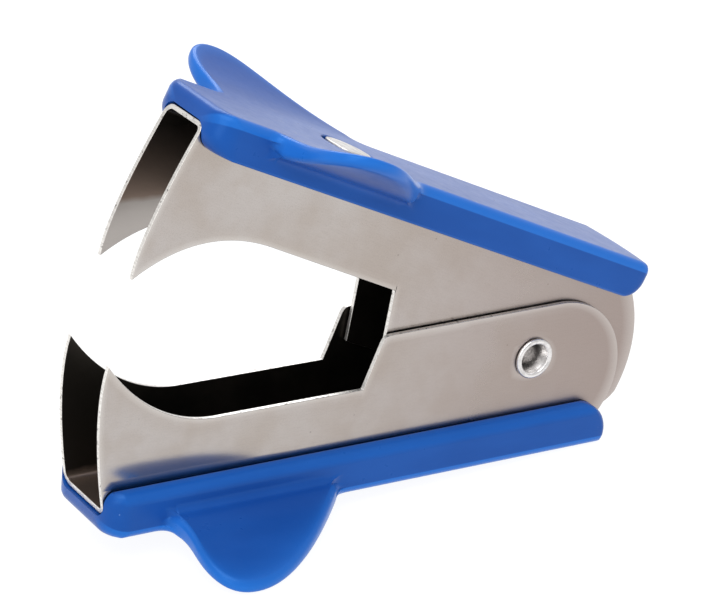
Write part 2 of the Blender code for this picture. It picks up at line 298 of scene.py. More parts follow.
class Wire:
    """A shader socket that takes part in sums. Each operator adds its Math node."""

    def __init__(self, tree, socket):
        self.tree = tree
        self.socket = socket

    def math(self, operation, *values):
        made = self.tree.nodes.new("ShaderNodeMath")
        made.operation = operation
        for place, value in zip(made.inputs, values):
            if isinstance(value, Wire):
                self.tree.links.new(value.socket, place)
            else:
                place.default_value = value
        return Wire(self.tree, made.outputs[0])

    def __add__(self, other):
        return self.math("ADD", self, other)

    def __radd__(self, other):
        return self.math("ADD", other, self)

    def __sub__(self, other):
        return self.math("SUBTRACT", self, other)

    def __rsub__(self, other):
        return self.math("SUBTRACT", other, self)

    def __mul__(self, other):
        return self.math("MULTIPLY", self, other)

    def __rmul__(self, other):
        return self.math("MULTIPLY", other, self)

    def __pow__(self, other):
        return self.math("POWER", self, other)

    def above(self, other):
        return self.math("GREATER_THAN", self, other)


class Finish:
    """A material and its nodes. node adds any node; the methods after it are its usual calls."""

    def __init__(self, name):
        self.material = bpy.data.materials.new(name)
        self.material.use_nodes = True
        self.tree = self.material.node_tree
        self.shader = self.tree.nodes["Principled BSDF"]

    def node(self, kind, settings=None, sockets=None, out=0):
        """A node of this type: its settings first, then the values or links of its sockets."""
        made = self.tree.nodes.new("ShaderNode" + kind)
        for key, value in (settings or {}).items():
            if key == "stops":
                ramp = made.color_ramp
                while len(ramp.elements) < len(value):
                    ramp.elements.new(1.0)
                for element, (place, colour) in zip(ramp.elements, value):
                    element.position = place
                    element.color = colour
            else:
                setattr(made, key, value)
        self.put(made, sockets or {})
        return Wire(self.tree, made.outputs[out])

    def put(self, node, sockets):
        """Links each socket to a Wire, or sets its value."""
        for key, value in sockets.items():
            if isinstance(value, Wire):
                self.tree.links.new(value.socket, node.inputs[key])
            else:
                node.inputs[key].default_value = value

    def surface(self, **sockets):
        """Sets the shader's sockets, whose names are written with _ for a space."""
        self.put(self.shader, {k.replace("_", " "): v for k, v in sockets.items()})

    def millimetres(self, tilt=0.0, stretch=(1, 1, 1)):
        """Jaw-frame coordinates in mm, from the object's own, stretched."""
        at = self.node("TexCoord", out="Object")
        a = radians(tilt)
        x, _, z = HINGE
        to_hinge = (z * sin(a) - x * cos(a), 0.0, -x * sin(a) - z * cos(a))
        turn = {"Rotation": (0.0, -a, 0.0), "Scale": (1000,) * 3, "Location": to_hinge}
        at = self.node("Mapping", {}, {"Vector": at, **turn})
        return self.node("Mapping", {}, {"Vector": at, "Scale": stretch})

    def along(self, at, axis):
        """One coordinate of a place: 0 for x, 2 for z."""
        return self.node("SeparateXYZ", {}, {0: at}, axis)

    def noise(self, at, scale, detail=2.0, roughness=0.5):
        values = {"Vector": at, "Scale": scale, "Detail": detail, "Roughness": roughness}
        return self.node("TexNoise", {"noise_dimensions": "3D"}, values, "Fac")

    def specks(self, at, scale, size, core, rarity):
        """Round specks in the cells of a Voronoi pattern, from size in to a full core.

        Only the cells whose random value is over the rarity have one.
        """
        cells = {"Vector": at, "Scale": scale, "Randomness": 1.0}
        near = self.node("TexVoronoi", {"feature": "F1"}, cells, "Distance")
        chance = self.node("SeparateColor", {}, {0: self.node("TexVoronoi", {}, cells, "Color")})
        return self.range_of(near, size, core) * chance.above(rarity)

    def range_of(self, value, low, high, to_low=0.0, to_high=1.0, soft=True):
        """value from low to high mapped to a new range and held at its ends."""
        settings = {"interpolation_type": "SMOOTHSTEP" if soft else "LINEAR"}
        sockets = {"Value": value, 1: low, 2: high, 3: to_low, 4: to_high}
        return self.node("MapRange", settings, sockets)

    def tint(self, share, first, second):
        """Colour mixed from the first to the second by the share."""
        return self.node("Mix", {"data_type": "RGBA"}, {0: share, 6: first, 7: second}, 2)

    def edge_wear_and_shine(self):
        """The mark on the mesh's edges: wear and painted highlight on the jaws, painted highlight
        on the grips.
        """
        return self.node("Attribute", {"attribute_name": "mark"}, out="Fac")

    def relief(self, height, strength, distance, **under):
        """A Bump node's normal, on top of another where Normal is given."""
        values = {"Height": height, "Strength": strength, "Distance": distance}
        return self.node("Bump", {}, {**values, **under})


def plated_steel(name, tilt, colour, roughness, dip=0.0):
    """Bright plated sheet: soft clouding, rolling grain along the jaw, small pits, and edges
    lightened partly as wear, partly as painted highlight.

    By the fangs the sheet leans in by dip, in metres, towards its lower bend.
    """
    f = Finish(name)
    at = f.millimetres(tilt)
    cloud = f.noise(at, 0.11, 3.0, 0.55)
    patch = f.noise(at, 0.35)
    grain = f.noise(f.millimetres(tilt, (0.25, 2.0, 3.2)), 2.4, 4.0, 0.65)
    fine = f.noise(at, 7.0, 3.0, 0.7)
    pit = f.specks(at, 0.62, 0.075, 0.03, 0.8)
    x, z = f.along(at, 0), f.along(at, 2)
    tail = f.range_of(x, -34.0, 14.0)
    lean = f.range_of(z, -3.0, -5.8, soft=False) ** 1.7 * f.range_of(x, -26.0, -40.0)
    cool, warm = rgba(colour, (1.02, 1.02, 1.03)), rgba(colour, (0.90, 0.86, 0.82))
    dark, darker_tail_tone = rgba(colour, (0.34, 0.31, 0.28)), rgba(colour, (0.75, 0.665, 0.65))
    body = f.tint(f.range_of(cloud, 0.35, 0.68), cool, warm)
    body = f.tint(f.range_of(patch, 0.45, 0.7, 0.0, 0.4), body, warm)
    # Darker and warmer towards the tail.
    body = f.tint(tail * 0.95, body, darker_tail_tone)
    body = f.tint(f.range_of(grain, 0.42, 0.7, 0.0, 0.04), body, dark)
    body = f.tint(f.range_of(fine, 0.45, 0.75, 0.0, 0.14), body, dark)
    body = f.tint(pit * 0.4, body, dark)
    # Lighter near the free edges: partly wear, partly painted highlight.
    body = f.tint(f.edge_wear_and_shine() * 0.25, body, rgba((0.95, 0.93, 0.90)))
    height = grain * 0.1 + fine * 0.2 - pit
    f.surface(
        Base_Color=body,
        Metallic=1.0,
        Roughness=roughness + tail * 0.18 + (grain - 0.5) * 0.05 + (cloud - 0.5) * 0.08,
        Normal=f.relief(1 - lean, 1.0, dip, Normal=f.relief(height, 0.2, 0.00002)),
    )
    return f.material


def inside_steel(name, tilt, web, out, stops, slant):
    """Inner face of the sheet, coloured by depth under the web as painted shade and painted light.

    The stops give the depth in mm and the colour near the fangs, slant the depth added per mm
    to the rear. Behind the fangs all of it is as dark as the second stop.
    """
    f = Finish(name)
    at = f.millimetres(tilt)
    x, z = f.along(at, 0), f.along(at, 2)
    cloud = f.noise(at, 0.22, 3.0, 0.55)
    grain = f.noise(f.millimetres(tilt, (0.3, 2.0, 2.6)), 2.0, 4.0, 0.6)
    depth = (web - z if out > 0 else z + web) + (cloud - 0.5) * 1.2
    depth = depth + (x - GRIP_FRONT) * slant
    places = [(mm_deep / DEEPEST, rgba(colour)) for mm_deep, colour in stops]
    shade = f.node("ValToRGB", {"stops": places}, {0: depth * (1 / DEEPEST)})
    dark = stops[1][1]
    # Behind the fangs, painted shade with random mottling; by the fangs, the stops' painted shade
    # and painted light.
    body = f.tint(f.range_of(cloud, 0.3, 0.75), rgba(dark), rgba(dark, 0.45))
    body = f.tint(f.range_of(x, -39.0, -44.0), body, shade)
    f.surface(
        Base_Color=body,
        Metallic=0.85,
        Roughness=0.34 + (grain - 0.5) * 0.16 + (cloud - 0.5) * 0.1,
        Normal=f.relief(grain, 0.2, 0.00002),
    )
    return f.material


def sheared_steel(name, tilt, colour):
    """Cut edge of the sheet: bright, with short marks across the thickness from the shear."""
    f = Finish(name)
    at = f.millimetres(tilt)
    marks = f.noise(f.millimetres(tilt, (3.5, 0.7, 3.5)), 1.6, 3.0, 0.7)
    cloud = f.noise(at, 0.8)
    nick = f.range_of(f.noise(at, 1.9, 2.0, 0.6), 0.62, 0.70)
    body = f.tint(f.range_of(marks, 0.35, 0.7), rgba(colour), rgba(colour, 0.72))
    body = f.tint(nick * 0.7, body, rgba((0.13, 0.11, 0.10)))
    f.surface(
        Base_Color=body,
        Metallic=0.9,
        Roughness=0.34 + (marks - 0.5) * 0.25 + (cloud - 0.5) * 0.1,
        Normal=f.relief(marks - nick, 0.5, 0.00004),
    )
    return f.material


def moulded_plastic(name, tilt, colour, pale, roughness):
    """Glossy moulded plastic: faint flow clouding, fine skin texture, scuffs and lint flecks."""
    f = Finish(name)
    at = f.millimetres(tilt)
    flow = f.noise(f.millimetres(tilt, (0.5, 1.0, 1.6)), 0.16, 3.0)
    skin = f.noise(at, 5.5, 3.0, 0.6)
    soft = f.noise(at, 1.1)
    scuff = f.noise(f.millimetres(tilt, (0.6, 3.0, 3.0)), 2.8, 4.0, 0.7)
    scuff = f.range_of(scuff, 0.66, 0.78)
    fleck = f.specks(at, 0.55, 0.05, 0.02, 0.9)
    body = f.tint(f.range_of(flow, 0.3, 0.7), rgba(colour), rgba(colour, (0.72, 0.80, 0.86)))
    # Painted highlight on the rounded edges and rim, by the mark.
    body = f.tint(f.edge_wear_and_shine() * 0.55, body, rgba(pale))
    body = f.tint(scuff * 0.10, body, rgba((0.35, 0.50, 0.80)))
    body = f.tint(fleck * 0.35, body, rgba((0.30, 0.50, 0.85)))
    f.surface(
        Base_Color=body,
        Roughness=roughness + (soft - 0.5) * 0.10 + scuff * 0.12 + (flow - 0.5) * 0.06,
        IOR=1.5,
        Specular_Tint=rgba((0.2, 0.5, 1.0)),
        Normal=f.relief(skin * 0.5 + soft * 0.6, 0.16, 0.00003),
    )
    return f.material


def turned_steel(name, tilt, colour, roughness):
    """Rivet and spring steel: bright, with soft clouding, shallow dents and fine grit."""
    f = Finish(name)
    at = f.millimetres(tilt)
    cloud = f.noise(at, 0.9, 3.0, 0.6)
    dents = f.noise(at, 2.6)
    fine = f.noise(at, 14.0, 2.0, 0.6)
    f.surface(
        Base_Color=f.tint(f.range_of(cloud, 0.4, 0.72), rgba(colour), rgba(colour, 0.66)),
        Metallic=1.0,
        Roughness=roughness + (cloud - 0.5) * 0.16 + (fine - 0.5) * 0.1,
        Normal=f.relief(dents + fine * 0.3, 0.3, 0.00005),
    )
    return f.material


# ---------------------------------------------------------------- pieces


def lower_outline(foot):
    """The lower jaw's side view as its front, free edge and tail, each a path of (x, z).

    The tail ends at the height of foot, where the bend begins.
    """
    tip = (-48.7, 7.0)
    front = bezier((-48.0, -9.5), (-49.0, -4.5), (-49.9, 2.8), tip, 60)
    throat = bezier(tip, (-45.8, 2.9), (-41.5, -0.4), (-36.0, -0.17), 34)
    notch, cheek = (-20.3, -0.15), (-18.6, 4.5)
    cheek_top = bezier(cheek, (-18.42, 5.0), (-18.1, 5.24), (-17.6, 5.25), 6)
    x, middle, radius = TAIL["lower"]
    start_x, start_z = cheek_top[-1]
    edge_z = start_z + (middle + radius - start_z) * (SPLIT_X - start_x) / (x - start_x)
    free = chain(
        throat,
        line(throat[-1], notch, 30),
        line(notch, cheek, 11),
        cheek_top,
        line(cheek_top[-1], (SPLIT_X, edge_z), 16),
    )
    round_end = arc((x, middle), radius, 90, degrees(asin((foot - middle) / radius)), 56)
    tail = chain(line((SPLIT_X, edge_z), round_end[0], 22), round_end)
    return front, free, tail


def upper_outline(foot):
    """The upper jaw's side view. The flat under its tail rests on the lower web when open."""
    tip = (-48.7, -4.5)
    front = bezier((-48.3, 12.2), (-49.0, 7.5), (-49.7, -0.6), tip, 60)
    throat = bezier(tip, (-45.8, -0.2), (-41.5, 2.5), (-35.5, 2.35), 34)
    notch, cheek = (-19.7, 2.05), (-17.4, -5.5)
    low_z = cheek[1]
    free = chain(
        throat,
        line(throat[-1], notch, 30),
        line(notch, cheek, 17),
        line(cheek, (SPLIT_X, low_z), 16),
    )
    slope = radians(TILT["upper"] - TILT["lower"])
    rest = SHEET + 0.25 - WEB["lower"]
    heel = ((low_z * cos(slope) - rest) / sin(slope), low_z)
    toe_x = 10.9
    toe_z = (rest + toe_x * sin(slope)) / cos(slope)
    toe = (toe_x, toe_z)
    radius = TAIL["upper"][2]
    around = arc((0.0, 0.0), radius, -4, degrees(asin(foot / radius)), 54)
    tail = chain(
        line((SPLIT_X, low_z), heel, 26),
        line(heel, toe, 10),
        bezier(toe, (toe_x + 0.5, toe_z + 0.3), (toe_x + 1.95, toe_z + 1.3), around[0], 8),
        around,
    )
    return front, free, tail


def front_x(front, z):
    """The x at which the front edge crosses the height z."""
    rising = front[np.argsort(front[:, 1])]
    return np.interp(z, rising[:, 1], rising[:, 0])


def tail_x(jaw, z):
    """The x at which the round tail crosses the height z, from its circle's equation."""
    x, middle, radius = TAIL[jaw]
    return x + np.sqrt(radius**2 - (z - middle) ** 2)


def jaw_sheet(jaw, half, bend):
    """Outer face of one bent jaw.

    Each wall is a Coons patch between the bend, the free edge, the front edge and the split,
    then a ruled ring from the tail's outline to the pivot hole. The bends are quarter circles
    and the web is flat between them; on both, x runs linearly from the front edge to the tail.
    """
    out = OUT[jaw]
    foot = out * (WEB[jaw] - bend)
    whole_front, free, tail = (lower_outline if jaw == "lower" else upper_outline)(foot)
    rows, bend_steps = 15, 9
    start = np.array([[front_x(whole_front, foot), foot]])
    beyond = whole_front[(whole_front[:, 1] - foot) * out < 0]
    front = spaced(np.concatenate([start, beyond]), rows)
    by_x = (free[:, 0] - free[0, 0]) / (free[-1, 0] - free[0, 0])
    by_run = lengths(free) / lengths(free)[-1]
    web_x = start[0, 0] + (SPLIT_X - start[0, 0]) * (0.75 * by_x + 0.25 * by_run)
    web_edge = np.stack([web_x, np.full(len(web_x), foot)], 1)
    split = line((SPLIT_X, foot), free[-1], rows)
    wall = coons(web_edge, free, front, split)
    rear = line(tail[-1], (SPLIT_X, foot), 34)
    ring = to_circle(chain(tail, rear, split), np.zeros(2), PIVOT_HOLE_R, 8)
    columns = np.concatenate([web_x, rear[::-1, 0][1:]])
    way = ((columns - columns[0]) / (columns[-1] - columns[0]))[:, None]

    # The x of each column of the bends and the web at a height z.
    def along(z):
        fore = front_x(whole_front, z)
        return fore + (tail_x(jaw, z) - fore) * way

    skin = Skin()
    for side in (-1, 1):
        for grid in (wall, ring):
            y = np.full(grid.shape[:2], side * half)
            skin.add(np.stack([grid[..., 0], y, grid[..., 1]], -1), (0, side, 0))
        a = np.radians(np.linspace(0, 90, bend_steps))[None, :]
        z = out * (WEB[jaw] - bend + bend * np.sin(a))
        x = along(z)
        y = np.broadcast_to(side * (half - bend + bend * np.cos(a)), x.shape)
        skin.add(np.stack([x, y, np.broadcast_to(z, x.shape)], -1), (0, side, out))
    z = out * WEB[jaw]
    y = np.linspace(bend - half, half - bend, 9)[None, :]
    x = along(z) + 0 * y
    skin.add(np.stack([x, y + 0 * x, np.full(x.shape, z)], -1), (0, 0, out))
    return skin


def mark_edges(mesh, reach):
    """Writes on each point how near the sheet's free edge is: 1 on it, 0 from reach away."""
    count = len(mesh.vertices)
    points = np.empty(count * 3)
    mesh.vertices.foreach_get("co", points)
    points = points.reshape(-1, 3) * 1000
    build = bmesh.new()
    build.from_mesh(mesh)
    border = np.array([v.index for v in build.verts if v.is_boundary])
    build.free()
    apart = np.linalg.norm(points[:, None] - points[None, border], axis=2).min(1)
    near = np.clip(1 - apart / reach, 0, 1) ** 2
    mesh.attributes["mark"].data.foreach_set("value", near.astype(np.float32))


def ear_outline(jaw, grip):
    """Plan of the grip's side with its ear, as (x, y), from the front to the rear.

    Straight along the wall, four Bezier runs round the ear and straight again. The second
    result is the ear's first and last place in the outline.
    """
    wall, reach, tip_x = grip["half"], grip["ear_reach"], EAR_TIP[jaw]
    front, back = tip_x - EAR_FORE[jaw], tip_x + EAR_AFT[jaw]
    foot = (front - 1.8, wall)
    brow = (front - 0.1, wall + 4.5)
    tip = (tip_x, wall + reach)
    ankle = (back, wall + 1.1)
    ear = chain(
        bezier(foot, (front - 0.4, wall), (front + 0.3, wall + 1.0), brow, 16),
        bezier(brow, (front - 0.4, wall + 7.5), (tip_x - 3.3, tip[1]), tip, 18),
        bezier(tip, (tip_x + 3.1, tip[1]), (back - 6.3, wall + 7.75), ankle, 28),
        bezier(ankle, (back + 0.5, wall + 0.5), (back + 1.0, wall), (back + 2.2, wall), 9),
    )
    fore = line((GRIP_FRONT, wall), foot, 10)
    aft = line(ear[-1], (GRIP_REAR[jaw], wall), 34)
    return chain(fore, ear, aft), (len(fore) - 1, len(fore) + len(ear) - 2)


def grip_skin(jaw, half, grip):
    """Closed skin of one moulded grip.

    The outer half section runs from the middle of the back out along the ear, round its edge,
    back under it to the wall and down the wall to the rim; the inner half section runs round
    the jaw's room. At each station the ear's points lie on the straight line in plan from the
    back to the ear's outline, lifted by a power of their distance out. Both ends stand back by
    rounded corners, which fade out along the grip.
    """
    wall, edge_r, thick = grip["half"], grip["edge"], grip["ear_thick"]
    back, rim = BACK[jaw], RIM[jaw]
    outline, (first, last) = ear_outline(jaw, grip)
    count = len(outline)
    run = lengths(outline)
    ear = slice(first, last + 1)
    base = outline[:, 0].copy()
    by_run = (run[ear] - run[first]) / (run[last] - run[first])
    by_x = (base[ear] - base[first]) / (base[last] - base[first])
    base[ear] = base[first] + (base[last] - base[first]) * (0.5 * by_run + 0.5 * by_x)
    ahead = np.gradient(outline, axis=0)
    ahead /= np.linalg.norm(ahead, axis=1)[:, None]
    inward = np.stack([ahead[:, 1], -ahead[:, 0]], 1)
    reach = outline[:, 1] - wall
    part = ease(reach / 1.2)
    edge_r = edge_r + 0.3 * (1 - part)

    # Rise of an ear's top above the back, and an ear's thickness, at a distance out.
    def lift(y):
        far = np.clip((y - CURL_FROM) / (wall + grip["ear_reach"] - CURL_FROM), 0, 2)
        return grip[jaw + "_rise"] * far ** EAR_CURL[jaw]

    def depth(y):
        root = np.clip(1 - (y - wall) / grip["ear_reach"], 0, 1)
        return thick + grip["ear_root"] * root**1.5

    rows = []

    # A row's fourth value is its share of painted highlight, kept as the mesh's mark.
    def row(x, y, k, edge=0.0):
        rows.append(np.stack(np.broadcast_arrays(x, y, k, edge), 1))

    inner = outline + inward * edge_r[:, None]
    for t in np.linspace(0, 1, 7):
        row(base, WINDOW_HALF * t, back)
    for t in np.linspace(0, 1, 15)[1:]:
        x = base + (inner[:, 0] - base) * t
        y = WINDOW_HALF + (inner[:, 1] - WINDOW_HALF) * t
        row(x, y, back + lift(y) * part, 0.5 * max(0.0, t - 0.85) / 0.15)
    for a in np.radians(np.linspace(0, 90, 6)[1:]):
        at = inner - inward * (edge_r * sin(a))[:, None]
        row(at[:, 0], at[:, 1], back + lift(at[:, 1]) * part - edge_r * (1 - cos(a)), 1.0)
    top = back + lift(outline[:, 1]) * part - edge_r
    rim_r = RIM_R[jaw]
    wall_low = rim + rim_r
    fillet = 0.9 * grip["fillet"]

    # The x, on the straight line in plan from the base to the ear's outline, at a distance out.
    def towards_base(y):
        out = np.clip((y - WINDOW_HALF) / (inner[:, 1] - WINDOW_HALF), 0, 1)
        return base + (inner[:, 0] - base) * out

    waist = towards_base(wall)
    runs = (("side", 2), ("turn", 5), ("under", 13), ("fillet", 6), ("wall", 6))
    steps = [(kind, (n + 1) / number) for kind, number in runs for n in range(number)]
    short = np.minimum(fillet, reach * 0.5)
    root_y = wall + short
    under_root = back + lift(root_y) * part - depth(root_y)
    for number, (kind, t) in enumerate(steps, 1):
        plain = back - edge_r + (wall_low - back + edge_r) * number / len(steps)
        shine = 0.0
        if kind == "side":
            x, y = outline[:, 0], outline[:, 1]
            k = top - (depth(y) - 2 * edge_r) * t
            shine = 1.0
        elif kind == "turn":
            a = radians(90 * t)
            at = outline + inward * (edge_r * (1 - cos(a)))[:, None]
            x, y = at[:, 0], at[:, 1]
            k = back + lift(y) * part - depth(y) + edge_r * (1 - sin(a))
            shine = 1.0 - 0.5 * t
        elif kind == "under":
            y = inner[:, 1] + (root_y - inner[:, 1]) * t
            x = towards_base(y)
            k = back + lift(y) * part - depth(y)
            shine = 0.5 * (1 - t) ** 4
        elif kind == "fillet":
            a = radians(90 * t)
            y = root_y - short * sin(a)
            x = towards_base(y)
            k = under_root - short * (1 - cos(a))
        else:
            start = under_root - short
            x = waist + (base - waist) * t
            y, k = wall, start + (wall_low - start) * t
        x = base + (x - base) * part
        y = wall + (y - wall) * part
        k = plain + (k - plain) * part
        row(x, y, k, shine * part)
    for a in np.radians(np.linspace(0, 90, 5)[1:]):
        row(base, wall - rim_r * (1 - cos(a)), rim + rim_r * (1 - sin(a)), 0.3)
    lip_r, room = 0.3, half + ROOM
    rim_middle = (0.5 * (wall - rim_r + room + lip_r), rim)
    row(base, *rim_middle, 0.3)
    outer = np.stack(rows, 1)
    # The inner half section, with as many points as the outer one, ending on its last point.
    floor, bend = WEB[jaw] + ROOM, BEND + ROOM
    turn = arc((room - bend, floor - bend), bend, 90, 0, 9)
    lip = arc((room + lip_r, rim + lip_r), lip_r, 180, 270, 5)
    left = outer.shape[1] - len(turn) - len(lip) + 1
    across = left // 2
    section = chain(
        line((0, floor), turn[0], across),
        turn,
        line(turn[-1], lip[0], left - across + 1),
        lip,
        line(lip[-1], rim_middle, 2),
    )
    pocket = np.zeros((count, len(section), 4))
    pocket[..., 0] = base[:, None]
    pocket[..., 1:3] = section
    return outer, pocket, base


def stand_back(grid, jaw, grip):
    """Rounds both ends: moves points in from each end by the corner radii, fading along x."""
    x, y, k = grid[..., 0], np.abs(grid[..., 1]), grid[..., 2]
    wall, back, rim = grip["half"], BACK[jaw], RIM[jaw]
    y = np.minimum(y, wall)
    fore = round_off(wall - y, FRONT_CORNER_R) + round_off(back - k, NOSE_R[jaw])
    fore = fore + round_off(k - rim, CHIN_R[jaw])
    aft = round_off(wall - y, REAR_CORNER_R) + round_off(back - k, HEEL_R[jaw])
    aft = aft + round_off(k - rim, TOE_R[jaw]) + REAR_BOW[jaw] * (y / wall) ** 2
    front_fade, rear_fade = 4.3, 5.2
    near_front = np.clip(1 - (x - GRIP_FRONT) / front_fade, 0, 1)
    near_rear = np.clip(1 - (GRIP_REAR[jaw] - x) / rear_fade, 0, 1)
    moved = grid.copy()
    moved[..., 0] = x + fore * near_front - aft * near_rear
    return moved


def recess(window, rivet_x, back):
    """The round recess for a rivet's head, in the window left open in the grip's back.

    A ruled ring from the window's border to the lip, then rings of falling radius down the
    lip's quarter circle, the wall and the floor.
    """
    near, far, top = window[0], window[-1], window[:, -1]
    flip = np.array([1.0, -1.0])
    border = chain(near, top, far[::-1], far * flip, (top * flip)[::-1], (near * flip)[::-1])
    centre = np.array([rivet_x + RECESS_SHIFT, RECESS_SHIFT])
    mouth_r = RECESS_R + RECESS_LIP_R
    ring = to_circle(border, centre, mouth_r, 6)
    ways = (ring[-1] - centre) / mouth_r
    corner = 0.06
    wall = arc((mouth_r, RECESS_LIP_R), RECESS_LIP_R, -90, -180, 4)
    foot = [(RECESS_R, 0.45), (RECESS_R, RECESS_DEEP - corner), (RECESS_R - corner, RECESS_DEEP)]
    floor = [(r, RECESS_DEEP) for r in (2.0, 1.0, 0.0)]
    profile = np.concatenate([wall, foot, floor])[:, None]
    bowl = centre + ways * profile[..., :1]
    depth = np.broadcast_to(profile[..., 1:], (*bowl.shape[:2], 1))
    flat = np.full((*ring.shape[:2], 1), back)
    return np.concatenate([ring, flat], -1), np.concatenate([bowl, back - depth], -1)


def grip_mesh(name, jaw, half, grip):
    """The grip's outer and inner half sections mirrored, closed at both ends and recessed."""
    outer, pocket, base = grip_skin(jaw, half, grip)
    rivet_x, out = RIVET_X[jaw], OUT[jaw]
    first = int(np.searchsorted(base, rivet_x - WINDOW_REACH)) - 1
    last = int(np.searchsorted(base, rivet_x + WINDOW_REACH))
    window_rows = 6
    low = radians(21)
    turn = np.linspace(pi / 2, low, 9)
    w = ((1 - np.sin(turn)) / (1 - sin(low)))[None, :, None]
    grids = [outer, pocket]
    for station in (0, -1):
        grids.append(outer[station][:, None] * (1 - w) + pocket[station][:, None] * w)
    grids = [stand_back(grid, jaw, grip) for grid in grids]
    skin = Skin()
    keep = np.ones((outer.shape[0] - 1, outer.shape[1] - 1), bool)
    keep[first:last, :window_rows] = False
    for side in (-1, 1):
        for grid, shown in zip(grids, (keep, None, None, None)):
            skin.add(grid[..., :3] * [1, side, out], mark=grid[..., 3], keep=shown)
    window = grids[0][first : last + 1, : window_rows + 1, :2]
    for grid in recess(window, rivet_x, BACK[jaw]):
        skin.add(grid * [1, 1, out])
    skin.roll(ROLL[jaw], out * WEB[jaw])
    return skin.mesh(name, jaw)


def lathe(profile, axis, centre, sides):
    """Surface of revolution: each (radius, height) carried round the axis, y or z."""
    a = np.linspace(0, 2 * pi, sides + 1)[:, None]
    r, h = profile[None, :, 0], np.broadcast_to(profile[None, :, 1], (sides + 1, len(profile)))
    first, second = centre[0] + r * np.cos(a), centre[1] + r * np.sin(a)
    if axis == "y":
        return np.stack([first, h, second], -1)
    return np.stack([first, second, h], -1)


def finish_piece(name, mesh, materials, body, node):
    """An object from the mesh with its materials, riding on its body in place of a CAD node.

    With no body, the piece is left unattached.
    """
    piece = bpy.data.objects.new(name, mesh)
    bpy.context.scene.collection.objects.link(piece)
    for made in materials:
        mesh.materials.append(made)
    if body:
        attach(piece, body)
    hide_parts(node)
    return piece


def mm(value):
    """A length property, in metres, as mm."""
    return value * 1000


# ---------------------------------------------------------------- settings


def length(name, description, default):
    """A length in metres."""
    return bpy.props.FloatProperty(
        name=name, description=description, default=default, min=0.0, unit="LENGTH", precision=5
    )


def paint(name, description, default):
    """A colour."""
    return bpy.props.FloatVectorProperty(
        name=name, description=description, default=default, size=3, min=0, max=1, subtype="COLOR"
    )


def share(name, description, default):
    """A number from 0 to 1."""
    return bpy.props.FloatProperty(
        name=name, description=description, default=default, min=0, max=1, subtype="FACTOR"
    )


class JawSettings(bpy.types.PropertyGroup):
    """Sizes and colours of the two bent jaws."""

    sheet: length("Sheet", "Thickness of the jaw steel", SHEET / 1000)
    lower_half: length("Lower half width", "Middle to outer face of the lower jaw", 0.004)
    upper_half: length("Upper half width", "Middle to outer face of the upper jaw", 0.0033)
    bend: length("Bend radius", "Outer radius of the sheet's bends", BEND / 1000)
    edge: length("Edge rounding", "Rounding of the sheared edges", 0.00008)
    steel: paint("Steel", "Plated outer faces", (0.465, 0.43, 0.405))
    # Painted shade on the inner faces.
    inside: paint("Inside", "Oiled inner faces", (0.034, 0.029, 0.024))
    # Painted light on the inner faces by the fangs.
    inside_painted_light: paint("Inside, open", "Cleaner inner faces by the fangs", (0.25, 0.19, 0.155))
    sheared: paint("Sheared edge", "Cut edges of the sheet", (0.90, 0.87, 0.83))
    roughness: share("Roughness", "Roughness of the plated faces", 0.16)


class GripSettings(bpy.types.PropertyGroup):
    """Sizes and colours of the two moulded grips."""

    half: length("Half width", "Middle to outer face of the grip's wall", 0.00575)
    edge: length("Edge rounding", "Rounding of the back's and the ears' edges", 0.00055)
    ear_reach: length("Ear reach", "How far an ear stands out from the wall", 0.01015)
    lower_rise: length("Lower ear rise", "How far a lower ear's tip bends away", 0.00227)
    upper_rise: length("Upper ear rise", "How far an upper ear's tip bends away", 0.0026)
    ear_thick: length("Ear thickness", "Thickness of the ears at the tip", 0.00125)
    ear_root: length("Ear root", "Thickness added to an ear at the wall", 0.0009)
    fillet: length("Fillet", "Rounding between an ear and the wall", 0.001)
    plastic: paint("Plastic", "Colour of the moulding", (0.009, 0.074, 0.345))
    # Painted highlight on the grips' rounded edges and rim.
    pale: paint("Edges", "Colour of the thin, paler edges", (0.020, 0.19, 0.70))
    roughness: share("Roughness", "Roughness of the plastic's skin", 0.30)


class RivetSettings(bpy.types.PropertyGroup):
    """Sizes and colour of the pivot rivet and the two grip rivets."""

    bore: length("Bore radius", "Radius of the hole through the pivot rivet", 0.00112)
    lip: length("Lip radius", "Outer radius of the pivot rivet's rolled lip", 0.0022)
    head: length("Head radius", "Radius of the grip rivets' flat heads", 0.00237)
    steel: paint("Steel", "Rivet steel", (0.80, 0.78, 0.77))
    roughness: share("Roughness", "Roughness of the rivets", 0.28)


class SpringSettings(bpy.types.PropertyGroup):
    """Sizes and colour of the torsion spring."""

    wire: length("Wire radius", "Radius of the spring wire", 0.00035)
    coil: length("Coil radius", "Middle of the wire to the hinge axis", 0.0023)
    width: length("Half width", "Half the coil's width along the axis", 0.00155)
    steel: paint("Steel", "Spring steel", (0.36, 0.34, 0.32))


class StageSettings(bpy.types.PropertyGroup):
    """Floor, lights and camera."""

    floor: paint("Floor", "Colour of the floor", (0.12, 0.12, 0.12))
    glow: share("Floor glow", "Light that the white floor gives off", 0.93)
    sky: bpy.props.FloatProperty(
        name="Surroundings", description="Brightness of the white surroundings", default=0.75
    )
    key: bpy.props.FloatProperty(
        name="Key light", description="Power of the large light above", default=3.2, unit="POWER"
    )
    lens: bpy.props.FloatProperty(
        name="Lens", description="Focal length", default=149.49, unit="CAMERA"
    )


class RemoverSettings(bpy.types.PropertyGroup):
    """All the settings of the staple remover."""

    jaws: bpy.props.PointerProperty(type=JawSettings)
    grips: bpy.props.PointerProperty(type=GripSettings)
    rivets: bpy.props.PointerProperty(type=RivetSettings)
    spring: bpy.props.PointerProperty(type=SpringSettings)
    stage: bpy.props.PointerProperty(type=StageSettings)


# ---------------------------------------------------------------- operators


